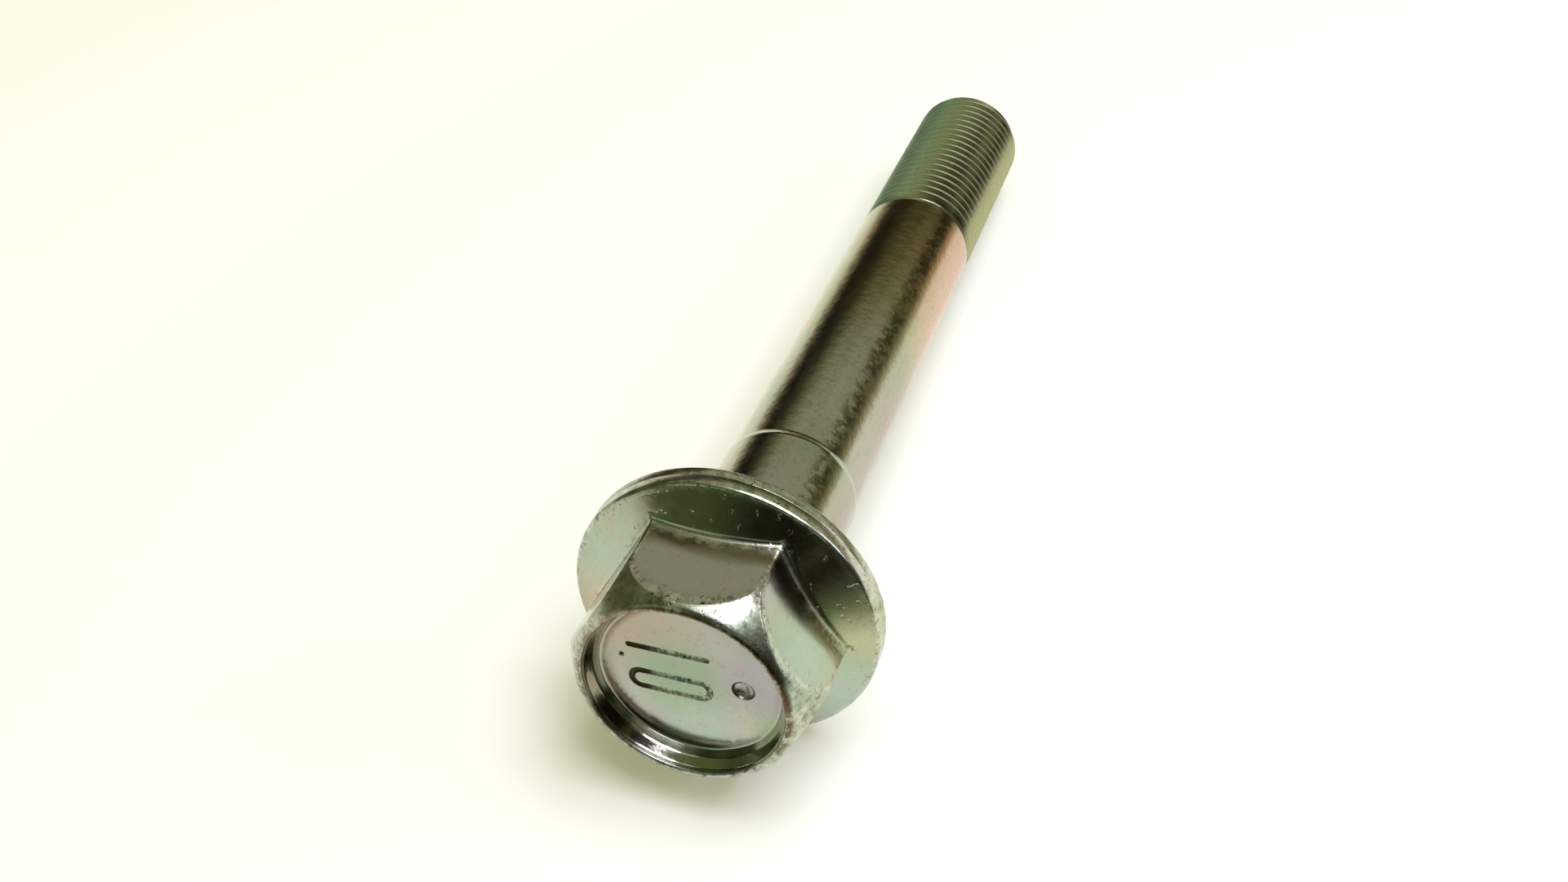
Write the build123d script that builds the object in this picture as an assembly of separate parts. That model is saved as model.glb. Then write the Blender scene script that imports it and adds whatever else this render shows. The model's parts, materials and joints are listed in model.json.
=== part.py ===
"""Control arm bolt: a hexagon flange bolt with a dished head, a pilot collar and a fine-threaded end.

The bolt is cold forged and thread rolled from one bar, so it is one solid.  It is first built about the
+Z axis with the bearing face of its flange at Z = 0, its head below and its shank above.  It is then laid
down as a loose bolt comes to rest on a flat surface, on the rim of its flange and the edge of its thread.
"""
from build123d import *
import math
import os

# Thread, shank and collar, in millimetres and degrees.  Stations run along the axis from the bearing face.
NOMINAL_DIAMETER = 14.0
THREAD_PITCH = 1.5
THREAD_ALLOWANCE = 0.05       # how far the plated crests stay under the nominal diameter
THREAD_FLANK_ANGLE = 60.0     # from the axis
PLAIN_LENGTH = 66.8           # to the shank's end, where the thread starts
BOLT_LENGTH = 98.6            # to the tip
RUN_OUT_ANGLE = 40.0          # bevel at the shank's end, from the axis
TIP_ANGLE = 45.0              # bevel at the tip, from the axis
TIP_CLEARANCE = 0.15          # how far the tip's flat end lies inside the thread's root, in radius
TIP_ROUNDING = 0.25
COLLAR_STEP = 0.25            # how far the pilot collar stands above the shank, in radius
COLLAR_LENGTH = 15.9          # to the start of the collar's bevel
COLLAR_BEVEL_LENGTH = 0.8
COLLAR_ROUNDING = 1.5         # at both ends of the bevel
UNDER_HEAD_ROUNDING = 0.6

# Flange
FLANGE_DIAMETER = 29.7
FLANGE_SLOPE = 24.0           # of the flange's front, from the plane of the bearing face
RIM_THICKNESS = 2.35
RIM_BEVEL_HEIGHT = 0.6        # of the bevel between the bearing face and the rim
RIM_BEVEL_WIDTH = 1.05
RIM_FRONT_ROUNDING = 0.45
RIM_REAR_ROUNDING = 0.35

# Hexagon
HEAD_HEIGHT = 14.3
ACROSS_FLATS = 20.95
HEX_EDGE_ROUNDING = 0.3
HEX_FOOT_ROUNDING = 0.55
HEX_ROLL = 2.0                # how far the top flat is turned off level as the bolt lies
CHAMFER_ANGLE = 30.0          # of the head's corners, from the axis
CHAMFER_ROUNDING = 8.0        # where the chamfer runs out into the corners

# Dish in the head's face
DISH_DEPTH = 2.35
DISH_WALL = 0.95              # between the dish's mouth and the middle of a flat
DISH_TAPER = 22.0             # of the dish's side, from the axis
DISH_FOOT_ROUNDING = 0.45
LIP_WIDTH = 0.75
LIP_INNER_ROUNDING = 0.3
LIP_OUTER_ROUNDING = 0.6

# What follows from them
THREAD_RADIUS = (NOMINAL_DIAMETER - THREAD_ALLOWANCE) / 2
ROOT_RADIUS = NOMINAL_DIAMETER / 2 - 17 / 24 * math.sqrt(3) / 2 * THREAD_PITCH  # ISO metric profile
TIP_RADIUS = ROOT_RADIUS - TIP_CLEARANCE
SHANK_RADIUS = NOMINAL_DIAMETER / 2
COLLAR_RADIUS = SHANK_RADIUS + COLLAR_STEP
RIM_RADIUS = FLANGE_DIAMETER / 2
CORNER_RADIUS = ACROSS_FLATS / math.sqrt(3)
MOUTH_RADIUS = ACROSS_FLATS / 2 - DISH_WALL


def cone_length(rise, angle):
    """The length along the axis in which a cone at this angle from the axis gains this much radius."""
    return rise / math.tan(math.radians(angle))


THREAD_END = BOLT_LENGTH - cone_length(THREAD_RADIUS - TIP_RADIUS, TIP_ANGLE)


def turned(corners):
    """A solid of revolution from the (radius, station, rounding) corners of its half section."""
    outline = Polyline([(radius, station) for radius, station, _ in corners], close=True)
    half = make_face(Plane.XZ * outline)
    for radius, station, rounding in corners:
        if rounding:
            corner = half.vertices().sort_by_distance((radius, 0, station))[0]
            half = fillet(corner, rounding)
    return revolve(half, Axis.Z)


def flange_and_shank():
    """Flange, pilot collar, shank and the cylinder over the thread's crests."""
    rim_front = -RIM_BEVEL_HEIGHT - RIM_THICKNESS
    groove_bottom = PLAIN_LENGTH + cone_length(SHANK_RADIUS - ROOT_RADIUS, RUN_OUT_ANGLE)
    return turned([
        (0, rim_front - RIM_RADIUS * math.tan(math.radians(FLANGE_SLOPE)), 0),
        (RIM_RADIUS, rim_front, RIM_FRONT_ROUNDING),
        (RIM_RADIUS, -RIM_BEVEL_HEIGHT, RIM_REAR_ROUNDING),
        (RIM_RADIUS - RIM_BEVEL_WIDTH, 0, 0),
        (COLLAR_RADIUS, 0, UNDER_HEAD_ROUNDING),
        (COLLAR_RADIUS, COLLAR_LENGTH, COLLAR_ROUNDING),
        (SHANK_RADIUS, COLLAR_LENGTH + COLLAR_BEVEL_LENGTH, COLLAR_ROUNDING),
        (SHANK_RADIUS, PLAIN_LENGTH, 0),
        (ROOT_RADIUS, groove_bottom, 0),
        (THREAD_RADIUS, groove_bottom + cone_length(THREAD_RADIUS - ROOT_RADIUS, THREAD_FLANK_ANGLE), 0),
        (THREAD_RADIUS, THREAD_END, TIP_ROUNDING),
        (TIP_RADIUS, BOLT_LENGTH, 0),
        (0, BOLT_LENGTH, 0),
    ])


def head():
    """The hexagon, cut from a turned blank whose face is dished and whose corners are chamfered."""
    face = -HEAD_HEIGHT
    floor = face + DISH_DEPTH
    lip_radius = MOUTH_RADIUS + LIP_WIDTH
    blank = turned([
        (0, -RIM_BEVEL_HEIGHT, 0),
        (0, floor, 0),
        (MOUTH_RADIUS - DISH_DEPTH * math.tan(math.radians(DISH_TAPER)), floor, DISH_FOOT_ROUNDING),
        (MOUTH_RADIUS, face, LIP_INNER_ROUNDING),
        (lip_radius, face, LIP_OUTER_ROUNDING),
        (CORNER_RADIUS, face + cone_length(CORNER_RADIUS - lip_radius, CHAMFER_ANGLE), CHAMFER_ROUNDING),
        (CORNER_RADIUS, -RIM_BEVEL_HEIGHT, 0),
    ])
    hexagon = RegularPolygon(ACROSS_FLATS / 2, 6, major_radius=False, rotation=30 - HEX_ROLL)
    hexagon = fillet(hexagon.vertices(), HEX_EDGE_ROUNDING)
    return blank & extrude(Pos(0, 0, face) * hexagon, HEAD_HEIGHT)


def forging():
    """The whole bolt about +Z, with the foot of the hexagon rounded into the flange."""
    bolt = flange_and_shank() + head()
    flange_front = bolt.faces().filter_by(GeomType.CONE).sort_by(SortBy.AREA)[-1]
    foot = flange_front.edges().filter_by(lambda edge: edge.geom_type not in (GeomType.LINE, GeomType.CIRCLE))
    return fillet(foot, HEX_FOOT_ROUNDING)


def rounding_centre(radius, station, turn, rounding):
    """The centre of the rounded corner at which a cylinder's outline turns inwards by this angle."""
    return radius - rounding, station - rounding * math.tan(turn / 2)


def lying_angle():
    """How far the axis dips towards the tip when the flange's rim and the thread's edge both touch."""
    rim_turn = math.atan2(RIM_BEVEL_WIDTH, RIM_BEVEL_HEIGHT)
    rim_radius, rim_station = rounding_centre(RIM_RADIUS, -RIM_BEVEL_HEIGHT, rim_turn, RIM_REAR_ROUNDING)
    tip_turn = math.radians(TIP_ANGLE)
    tip_radius, tip_station = rounding_centre(THREAD_RADIUS, THREAD_END, tip_turn, TIP_ROUNDING)
    drop = rim_radius - tip_radius
    span = tip_station - rim_station
    tilt = math.atan2(drop, span) + math.asin((RIM_REAR_ROUNDING - TIP_ROUNDING) / math.hypot(drop, span))
    return math.degrees(tilt)


def laid_down(bolt):
    """The bolt with its tip towards +X, lying at Z = 0 with its box centred over the origin."""
    bolt = Rot(0, 90 + lying_angle(), 0) * bolt
    box = bolt.bounding_box()
    return Pos(-box.center().X, -box.center().Y, -box.min.Z) * bolt


os.makedirs("parts", exist_ok=True)
flange_bolt = laid_down(forging())
flange_bolt.label = "flange_bolt"
export_step(flange_bolt, "parts/flange_bolt.step")
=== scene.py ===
"""Looks of the control arm bolt: its rolled thread, stamped marks, zinc finish, table and light.

The bolt is one closed mesh in a frame of its own.  There +Z runs along the axis from the bearing face to
the tip, +X is the upward side of the bolt as it lies, and +Y its right side as seen from the head.  The
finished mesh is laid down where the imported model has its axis.  Lengths are metres.
"""
import json
import math

import bmesh
import bpy
import numpy as np
from bpy.props import FloatProperty, FloatVectorProperty, PointerProperty
from bpy.types import Operator, Panel, PropertyGroup
from mathutils import Matrix, Vector
from mathutils.geometry import delaunay_2d_cdt


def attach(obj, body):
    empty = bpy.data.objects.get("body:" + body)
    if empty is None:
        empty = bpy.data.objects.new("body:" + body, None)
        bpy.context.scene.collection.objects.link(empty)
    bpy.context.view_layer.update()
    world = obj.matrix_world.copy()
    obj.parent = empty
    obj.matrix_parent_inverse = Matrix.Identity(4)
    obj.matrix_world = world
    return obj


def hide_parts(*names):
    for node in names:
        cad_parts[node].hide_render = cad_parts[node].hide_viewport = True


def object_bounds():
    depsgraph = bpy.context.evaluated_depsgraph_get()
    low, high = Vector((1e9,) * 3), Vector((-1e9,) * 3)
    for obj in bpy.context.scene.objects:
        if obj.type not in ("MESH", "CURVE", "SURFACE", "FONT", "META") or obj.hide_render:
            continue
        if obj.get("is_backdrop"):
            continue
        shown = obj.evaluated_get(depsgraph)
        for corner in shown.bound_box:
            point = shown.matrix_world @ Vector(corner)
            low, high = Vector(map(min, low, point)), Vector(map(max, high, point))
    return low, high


bl_info = {
    "name": "Control Arm Bolt",
    "version": (1, 0, 0),
    "blender": (4, 5, 0),
    "location": "3D View > Sidebar > Bolt",
    "description": "Builds a zinc-plated hexagon flange bolt and the table that it lies on",
    "category": "Object",
}

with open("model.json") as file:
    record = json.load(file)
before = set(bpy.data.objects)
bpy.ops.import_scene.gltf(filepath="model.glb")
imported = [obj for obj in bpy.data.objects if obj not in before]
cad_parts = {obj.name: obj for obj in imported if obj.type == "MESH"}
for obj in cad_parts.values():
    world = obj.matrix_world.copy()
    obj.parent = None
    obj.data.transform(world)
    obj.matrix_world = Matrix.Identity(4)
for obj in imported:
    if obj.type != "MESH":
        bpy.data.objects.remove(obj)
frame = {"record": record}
CAD_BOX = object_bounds()
MOUNTS = {mount["name"]: mount for mount in frame["record"]["mounts"]}
MM = 0.001

BOLT = "flange_bolt_plated"
THREAD_COLUMNS = 180          # around the shank and thread
FLAT_COLUMNS = 36             # across a flat of the hexagon, between its corners
CORNER_COLUMNS = 6            # around a rounded corner of the hexagon
CROWN_RINGS = 24              # from the lip down the chamfer
EDGE_RINGS = 5                # over the worn edge between chamfer and flat
FLAT_RINGS = 4                # down a flat, between that edge and the foot
FLANGE_RINGS = 6              # up the flange's front, between the foot and the rim
ARC_STEP = math.radians(9)    # between the points of a rounded corner of a section
SHARP = math.radians(32)      # a bend between two faces that is steeper than this keeps its edge
WELD = 1e-8                   # nearer points are one
TURN = 2 * math.pi
SIXTH = TURN / 6
PROFILE_HEIGHT = math.sqrt(3) / 2   # of a metric thread's sharp profile, for a pitch of 1
CREST_WEAR = 0.03 * MM        # taken off the edges of the thread's crests
PARTING_DEPTH = 0.02 * MM     # of the parting line round the flange's rim
PARTING_HALF_WIDTH = 0.05 * MM
# How worn the rounding at the hexagon's foot is, at these shares of its way down to the flange
FOOT_WEAR = ((0.0, 0.6), (0.10, 1.0), (0.22, 0.8), (0.36, 0.3),
             (0.64, 0.2), (0.78, 0.2), (0.90, 0.1), (1.0, 0.0))


# -------------------- settings

def length(name, millimetres, description):
    return FloatProperty(name=name, description=description, default=millimetres * MM, min=0.0, precision=5,
                         subtype="DISTANCE", unit="LENGTH")


def angle(name, degrees, description):
    return FloatProperty(name=name, description=description, default=math.radians(degrees), subtype="ANGLE")


def colour(name, red, green, blue, description):
    return FloatVectorProperty(name=name, description=description, default=(red, green, blue), size=3,
                               min=0.0, max=1.0, subtype="COLOR")


def share(name, default, description):
    return FloatProperty(name=name, description=description, default=default, min=0.0, max=1.0,
                         subtype="FACTOR")


def power(name, watts, description):
    return FloatProperty(name=name, description=description, default=watts, min=0.0, unit="POWER")


class BoltShankSizes(PropertyGroup):
    """Sizes of the collar, shank and thread.  Stations run along the axis from the bearing face."""
    nominal_radius: length("Nominal radius", MOUNTS["shank"]["dims"]["r_mm"], "Radius of the plain shank")
    crest_radius: length("Crest radius", MOUNTS["thread"]["dims"]["r_mm"], "Radius over the plated crests")
    collar_radius: length("Collar radius", MOUNTS["pilot_collar"]["dims"]["r_mm"], "Radius of the collar")
    pitch: length("Pitch", 1.5, "Lead of the single-start right-hand thread")
    plain_length: length("Plain length", 66.8, "Station of the shank's end")
    bolt_length: length("Bolt length", 98.6, "Station of the tip")
    run_out_angle: angle("Run-out angle", 40.0, "Bevel at the shank's end, from the axis")
    first_flank_angle: angle("First flank angle", 60.0, "Start of the first crest, from the axis")
    first_edge: length("First edge", 0.22, "Height of the worn edge where the first crest starts")
    first_edge_softness: share("First edge softness", 0.3, "Steepness of that edge against the flank's")
    tip_angle: angle("Tip angle", 45.0, "Bevel at the tip, from the axis")
    tip_clearance: length("Tip clearance", 0.15, "How far the tip's flat end lies inside the root")
    collar_length: length("Collar length", 15.9, "Station where the collar's bevel starts")
    collar_bevel: length("Collar bevel", 0.8, "Length of the collar's bevel along the axis")
    collar_rounding: length("Collar rounding", 1.5, "Rounding at both ends of the collar's bevel")
    under_head_rounding: length("Under-head rounding", 0.6, "Rounding between bearing face and collar")


class BoltHeadSizes(PropertyGroup):
    """Sizes of the flange, the hexagon, the dish in its face and the marks stamped there."""
    flange_radius: length("Flange radius", 14.85, "Radius of the flange's rim")
    flange_slope: angle("Flange slope", 24.0, "Front of the flange, from the plane of the bearing face")
    rim_thickness: length("Rim thickness", 2.35, "Straight part of the rim, along the axis")
    rim_bevel_height: length("Rim bevel height", 0.6, "Bevel behind the rim, along the axis")
    rim_bevel_width: length("Rim bevel width", 1.05, "Bevel behind the rim, in radius")
    rim_front_rounding: length("Rim front rounding", 0.5, "Rounding at the front of the rim")
    rim_rear_rounding: length("Rim rear rounding", 0.35, "Rounding at the rear of the rim")
    head_height: length("Head height", 14.3, "From the bearing face to the face of the head")
    flat_radius: length("Half across flats", 10.475, "From the axis to a flat of the hexagon")
    edge_rounding: length("Hexagon edge rounding", 0.3, "Rounding along the hexagon's corners")
    foot_rounding: length("Hexagon foot rounding", 0.85, "Rounding between hexagon and flange")
    roll: angle("Hexagon roll", -2.0, "How far the top flat is turned off level")
    chamfer_angle: angle("Chamfer angle", 32.0, "Chamfer of the head's corners, from the axis")
    chamfer_rounding: length("Chamfer rounding", 8.0, "Run-out of the chamfer into the corners")
    chamfer_softness: length("Chamfer softness", 0.2, "Width of the worn edge between chamfer and flat")
    dish_depth: length("Dish depth", 2.35, "Depth of the dish in the head's face")
    dish_radius: length("Dish radius", 9.525, "Radius of the dish's mouth")
    dish_taper: angle("Dish taper", 22.0, "Side of the dish, from the axis")
    dish_foot_rounding: length("Dish foot rounding", 0.16, "Rounding around the dish's floor")
    lip_width: length("Lip width", 0.65, "Width of the lip that slopes away from the dish")
    lip_slope: angle("Lip slope", 24.0, "Slope of the lip, from the plane of the face")
    lip_inner_rounding: length("Lip inner rounding", 0.3, "Rounding of the lip towards the dish")
    lip_outer_rounding: length("Lip outer rounding", 1.0, "Rounding of the lip towards the chamfer")
    stroke_width: length("Stroke width", 0.68, "Width of the stamped strokes")
    stroke_depth: length("Stroke depth", 0.22, "Depth of the stamped strokes")
    dot_radius: length("Dot radius", 1.1, "Radius of the round dent")
    dot_depth: length("Dot depth", 0.6, "Depth of the round dent")


class ZincFinish(PropertyGroup):
    """Colours and gloss of the passivated zinc plate."""
    zinc: colour("Zinc", 0.45, 0.45, 0.39, "Bare plate")
    green: colour("Green film", 0.33, 0.41, 0.28, "Film where it looks green")
    mint: colour("Mint film", 0.40, 0.49, 0.41, "Film where it looks pale blue-green")
    blush: colour("Blush film", 0.46, 0.385, 0.29, "Film where it is faintly pink")
    pink: colour("Pink film", 0.69, 0.39, 0.29, "Film where it looks pink")
    rose: colour("Rose film", 0.43, 0.32, 0.28, "Film on the right side of collar and shank")
    # Pale film on the left of collar and shank, painted much lighter than the plate so that the table's
    # reflection there looks brighter
    cream_film_and_reflection: colour("Cream film", 0.96, 0.73, 0.46, "Film on the left side of collar and shank")
    tan: colour("Tan film", 0.33, 0.27, 0.13, "Film on top of the shank, towards the thread")
    straw: colour("Straw film", 0.44, 0.46, 0.27, "Film where it looks straw-coloured")
    moss: colour("Moss film", 0.29, 0.42, 0.27, "Film in the middle of the dish")
    violet: colour("Violet film", 0.42, 0.37, 0.43, "Film at the dish's right")
    lavender: colour("Lavender film", 0.43, 0.42, 0.41, "Film where it is faintly lavender")
    # Blue-green film on the thread's left side, painted lighter than the plate to stand in for the bright
    # light reflected there
    teal_film_and_reflection: colour("Teal film", 0.44, 0.60, 0.47, "Film on the thread's left side")
    olive: colour("Olive film", 0.50, 0.50, 0.29, "Film on top of the thread")
    # Yellow-brown film on the thread's right side, painted darker to stand in for the shade there
    khaki_film_and_shade: colour("Khaki film", 0.40, 0.39, 0.20, "Film on the thread's right side")
    # Brown painted as dark reflection round the edge of the dish's floor, on the dish's left side and round
    # the upper right of its mouth; also a darker band on the hexagon near its foot
    bronze_and_dark_reflection: colour("Bronze film", 0.17, 0.11, 0.05, "Brown tarnish in the dish and at the hexagon's foot")
    # Dark specks in pits and scuffs; the same colour is also painted as shade in the thread's grooves and
    # the stamped marks, and as dark reflection bands along the shank
    grime_and_shade: colour("Grime", 0.07, 0.06, 0.035, "Dark specks in pits and scuffs")
    # Light colour of worn patches on the head; the same colour is also painted as glints in the stamped
    # marks and as a highlight on the flange's rim
    burnish_and_glint: colour("Burnished", 0.62, 0.63, 0.56, "Light patches where the plate is rubbed")
    film_strength: share("Film strength", 0.9, "How strongly the film colours the plate")
    gloss: share("Roughness", 0.15, "Roughness of the clean plate")


class StageSettings(PropertyGroup):
    """Table, surroundings, light and camera."""
    table: colour("Table", 0.92, 0.92, 0.97, "Plain pale table")
    table_warm: colour("Table, warm side", 0.92, 0.92, 0.96, "Tint of the table to the left")
    table_lift: colour("Table lift", 1.0, 1.0, 0.75, "Tint of the faint glow that whitens the table")
    dark: colour("Dark card", 0.012, 0.010, 0.006, "Dark things round the table, as reflected")
    dark_rear: colour("Dark rear", 0.09, 0.105, 0.038, "Room behind the camera, reflected low down")
    wall: colour("Wall", 0.49, 0.47, 0.35, "Wall beyond the table, reflected halfway up")
    wall_rear: colour("Rear wall", 0.42, 0.52, 0.33, "Wall behind the camera, reflected halfway up")
    screen: colour("Screen", 0.70, 1.00, 0.80, "Bright screen at the rear left, as reflected")
    skirting: colour("Skirting", 0.52, 0.39, 0.21, "Warm band just above the table's far edge, reflected")
    pillar: colour("Pillar", 0.15, 0.13, 0.05, "Olive wall on the far right, as reflected low down")
    ceiling_light: colour("Ceiling light", 0.75, 0.70, 0.52, "Soft light in the ceiling, as reflected")
    ceiling: colour("Ceiling", 0.15, 0.17, 0.06, "Ceiling, as reflected")
    daylight: colour("Daylight", 0.91, 0.93, 1.0, "Tint of the lamps")
    shade: colour("Shade", 1.0, 0.98, 0.40, "Tint of the even light, which fills the shadows")
    sky_strength: share("Surrounding light", 0.38, "Strength of the even light from all round")
    key_power: power("Key power", 4.7, "Power of the soft lamp overhead")
    window_power: power("Window power", 0.75, "Power of the window on the right")
    lens: FloatProperty(name="Lens", description="Focal length on a 36 mm sensor", default=37.21, min=1.0,
                        unit="CAMERA")
    camera_offset: FloatVectorProperty(name="Camera", description="Camera from the bearing face's centre",
                                       default=(-0.0975, -0.03655, 0.1114), size=3, subtype="TRANSLATION",
                                       unit="LENGTH")
    view_azimuth: angle("View azimuth", 18.02, "Heading of the view, from +X towards +Y")
    view_drop: angle("View drop", 41.64, "How far the view points below level")


# -------------------- frame

def bolt_placement():
    """The matrix from the bolt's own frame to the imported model's, from the mounts on its axis."""
    axis = Vector(MOUNTS["shank"]["axis"]).normalized()
    on_axis = Vector(MOUNTS["shank"]["pos_m"])
    bearing = on_axis + axis * axis.dot(Vector(MOUNTS["bearing_face"]["pos_m"]) - on_axis)
    right = Vector((0.0, -1.0, 0.0))
    up = right.cross(axis)
    return Matrix.Translation(bearing) @ Matrix((up, right, axis)).transposed().to_4x4()


# -------------------- outlines

def rounded(corners):
    """The outline through (radius, station, rounding) corners, each rounded corner turned into an arc."""
    points = []
    for index, (radius, station, rounding) in enumerate(corners):
        corner = np.array([radius, station])
        if not rounding:
            points.append(corner)
            continue
        back = np.array(corners[index - 1][:2]) - corner
        ahead = np.array(corners[index + 1][:2]) - corner
        back /= np.linalg.norm(back)
        ahead /= np.linalg.norm(ahead)
        turn = math.pi - math.acos(np.clip(back @ ahead, -1, 1))
        middle = (back + ahead) / np.linalg.norm(back + ahead)
        centre = corner + middle * rounding / math.cos(turn / 2)
        start = corner + back * rounding * math.tan(turn / 2) - centre
        end = corner + ahead * rounding * math.tan(turn / 2) - centre
        for step in np.linspace(0, 1, max(3, math.ceil(turn / ARC_STEP)) + 1):
            arm = math.sin((1 - step) * turn) * start + math.sin(step * turn) * end
            points.append(centre + arm / math.sin(turn))
    return np.array(points)


def cone_length(rise, angle_from_axis):
    """The length along the axis in which a cone gains this much radius."""
    return rise / math.tan(angle_from_axis)


def half_flat_angle(head):
    """Half the angle around the axis that a flat takes up between its rounded corners."""
    return math.atan((head.flat_radius - head.edge_rounding) * math.tan(SIXTH / 2) / head.flat_radius)


def hexagon_angles(head):
    """The directions around the axis at which the head has its columns, close together at the corners."""
    half = half_flat_angle(head)
    flat = np.linspace(-half, half, FLAT_COLUMNS, endpoint=False)
    corner = np.linspace(half, SIXTH - half, CORNER_COLUMNS, endpoint=False)
    sector = np.concatenate([flat, corner])
    return np.concatenate([sector + head.roll + side * SIXTH for side in range(6)])


def hexagon_reach(head, around):
    """How far the rounded hexagon reaches from the axis in each direction, and where its corners are."""
    offset = (around - head.roll + SIXTH / 2) % SIXTH - SIXTH / 2
    past_corner = SIXTH / 2 - np.abs(offset)
    centre = (head.flat_radius - head.edge_rounding) / math.cos(SIXTH / 2)
    inside = np.maximum(head.edge_rounding ** 2 - (centre * np.sin(past_corner)) ** 2, 0)
    on_corner = centre * np.cos(past_corner) + np.sqrt(inside)
    at_corner = np.abs(offset) > half_flat_angle(head) - 1e-6
    return np.where(at_corner, on_corner, head.flat_radius / np.cos(offset)), at_corner


# -------------------- mesh

class Skin:
    """Gathers the points and faces of one closed mesh, with how worn and how satin each point is."""

    def __init__(self):
        self.points = []
        self.wear = []
        self.satin = []
        self.faces = []

    def add(self, points, wear=0.0, satin=0.0):
        """Adds points and returns their numbers."""
        first = len(self.points)
        self.points.extend(np.asarray(points, float).tolist())
        self.wear.extend(np.broadcast_to(wear, len(points)).tolist())
        self.satin.extend(np.broadcast_to(satin, len(points)).tolist())
        return np.arange(first, len(self.points))

    def ring(self, around, radius, station, wear=0.0, satin=0.0):
        """Adds a closed ring of points, whose radius and station may differ around the axis."""
        across = np.broadcast_to(radius, around.shape)
        along = np.broadcast_to(station, around.shape)
        points = np.column_stack([across * np.cos(around), across * np.sin(around), along])
        return self.add(points, wear, satin)

    def band(self, first, second):
        """Faces between two rings that have the same number of points."""
        quads = np.column_stack([first, np.roll(first, -1), np.roll(second, -1), second])
        self.faces.extend(quads.tolist())

    def bands(self, rings):
        """Faces between each ring and the next."""
        for first, second in zip(rings, rings[1:]):
            self.band(first, second)

    @staticmethod
    def unrolled(ring, around):
        """A ring's points and angles from its least angle on, with the first point again a turn later."""
        start = np.argmin(around % TURN)
        points = np.roll(ring, -start)
        angles = np.roll(around % TURN, -start)
        return np.append(points, points[0]).tolist(), np.append(angles, angles[0] + TURN)

    def stitch(self, first, first_around, second, second_around):
        """Triangles between two rings that have different numbers of points."""
        points_a, angles_a = self.unrolled(first, first_around)
        points_b, angles_b = self.unrolled(second, second_around)
        a, b = 0, 0
        while a + 1 < len(points_a) or b + 1 < len(points_b):
            if b + 1 == len(points_b) or a + 1 < len(points_a) and angles_a[a + 1] <= angles_b[b + 1]:
                self.faces.append([points_a[a], points_a[a + 1], points_b[b]])
                a += 1
            else:
                self.faces.append([points_a[a], points_b[b + 1], points_b[b]])
                b += 1

    def finished(self, name, placement, material):
        """The finished object, with its faces turned outwards and soft shading across gentle bends."""
        mesh = bpy.data.meshes.new(name)
        mesh.from_pydata(self.points, [], self.faces)
        for attribute, values in (("wear", self.wear), ("satin", self.satin)):
            layer = mesh.attributes.new(attribute, "FLOAT", "POINT")
            layer.data.foreach_set("value", values)
        work = bmesh.new()
        work.from_mesh(mesh)
        bmesh.ops.remove_doubles(work, verts=work.verts, dist=WELD)
        bmesh.ops.dissolve_degenerate(work, edges=work.edges, dist=WELD)
        bmesh.ops.recalc_face_normals(work, faces=work.faces)
        for edge in work.edges:
            edge.smooth = edge.calc_face_angle(math.pi) < SHARP
        for face in work.faces:
            face.smooth = True
        work.to_mesh(mesh)
        work.free()
        mesh.transform(placement)
        mesh.materials.append(material)
        piece = bpy.data.objects.new(name, mesh)
        bpy.context.scene.collection.objects.link(piece)
        weighted = piece.modifiers.new("even shading", "WEIGHTED_NORMAL")
        weighted.keep_sharp = True
        return piece


# -------------------- head

def crown_outline(head):
    """The outline of the turned blank from the dish's floor over the lip and down the chamfer."""
    face = -head.head_height
    floor = face + head.dish_depth
    lip = head.dish_radius + head.lip_width
    foot = dish_foot_radius(head)
    lip_drop = head.lip_width * math.tan(head.lip_slope)
    corner = head.flat_radius / math.cos(SIXTH / 2)
    side = head.dish_radius - foot
    return rounded([
        (foot - 2 * MM, floor, 0),
        (foot, floor, head.dish_foot_rounding),
        (foot + 0.30 * side, floor - 0.38 * head.dish_depth, 1.2 * MM),
        (foot + 0.85 * side, floor - 0.72 * head.dish_depth, 0.8 * MM),
        (head.dish_radius, face, head.lip_inner_rounding),
        (lip, face + lip_drop, head.lip_outer_rounding),
        (corner, face + lip_drop + cone_length(corner - lip, head.chamfer_angle), head.chamfer_rounding),
        (corner, 0, 0),
    ])[1:-1]


def dish_foot_radius(head):
    """The radius of the dish's floor, before its edge is rounded."""
    return head.dish_radius - head.dish_depth * math.tan(head.dish_taper)


def outline_places(outline):
    """How far along the outline each point is, counting its bends as well as its length."""
    steps = np.diff(outline, axis=0)
    lengths = np.linalg.norm(steps, axis=1)
    headings = np.unwrap(np.arctan2(steps[:, 1], steps[:, 0]))
    bends = np.abs(np.diff(headings, append=headings[-1:]))
    return np.concatenate([[0], np.cumsum(lengths / (0.5 * MM) + bends / ARC_STEP)])


def dish_rings(head, side):
    """Rings (radius, station, wear, satin) up the dish's side, which is worn and satin near the mouth."""
    for radius, station in side:
        near = np.clip((0.45 * MM - station - head.head_height) / (0.3 * MM), 0, 1)
        yield radius, station, 0.5 * near, 0.1 + 0.7 * near


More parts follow.
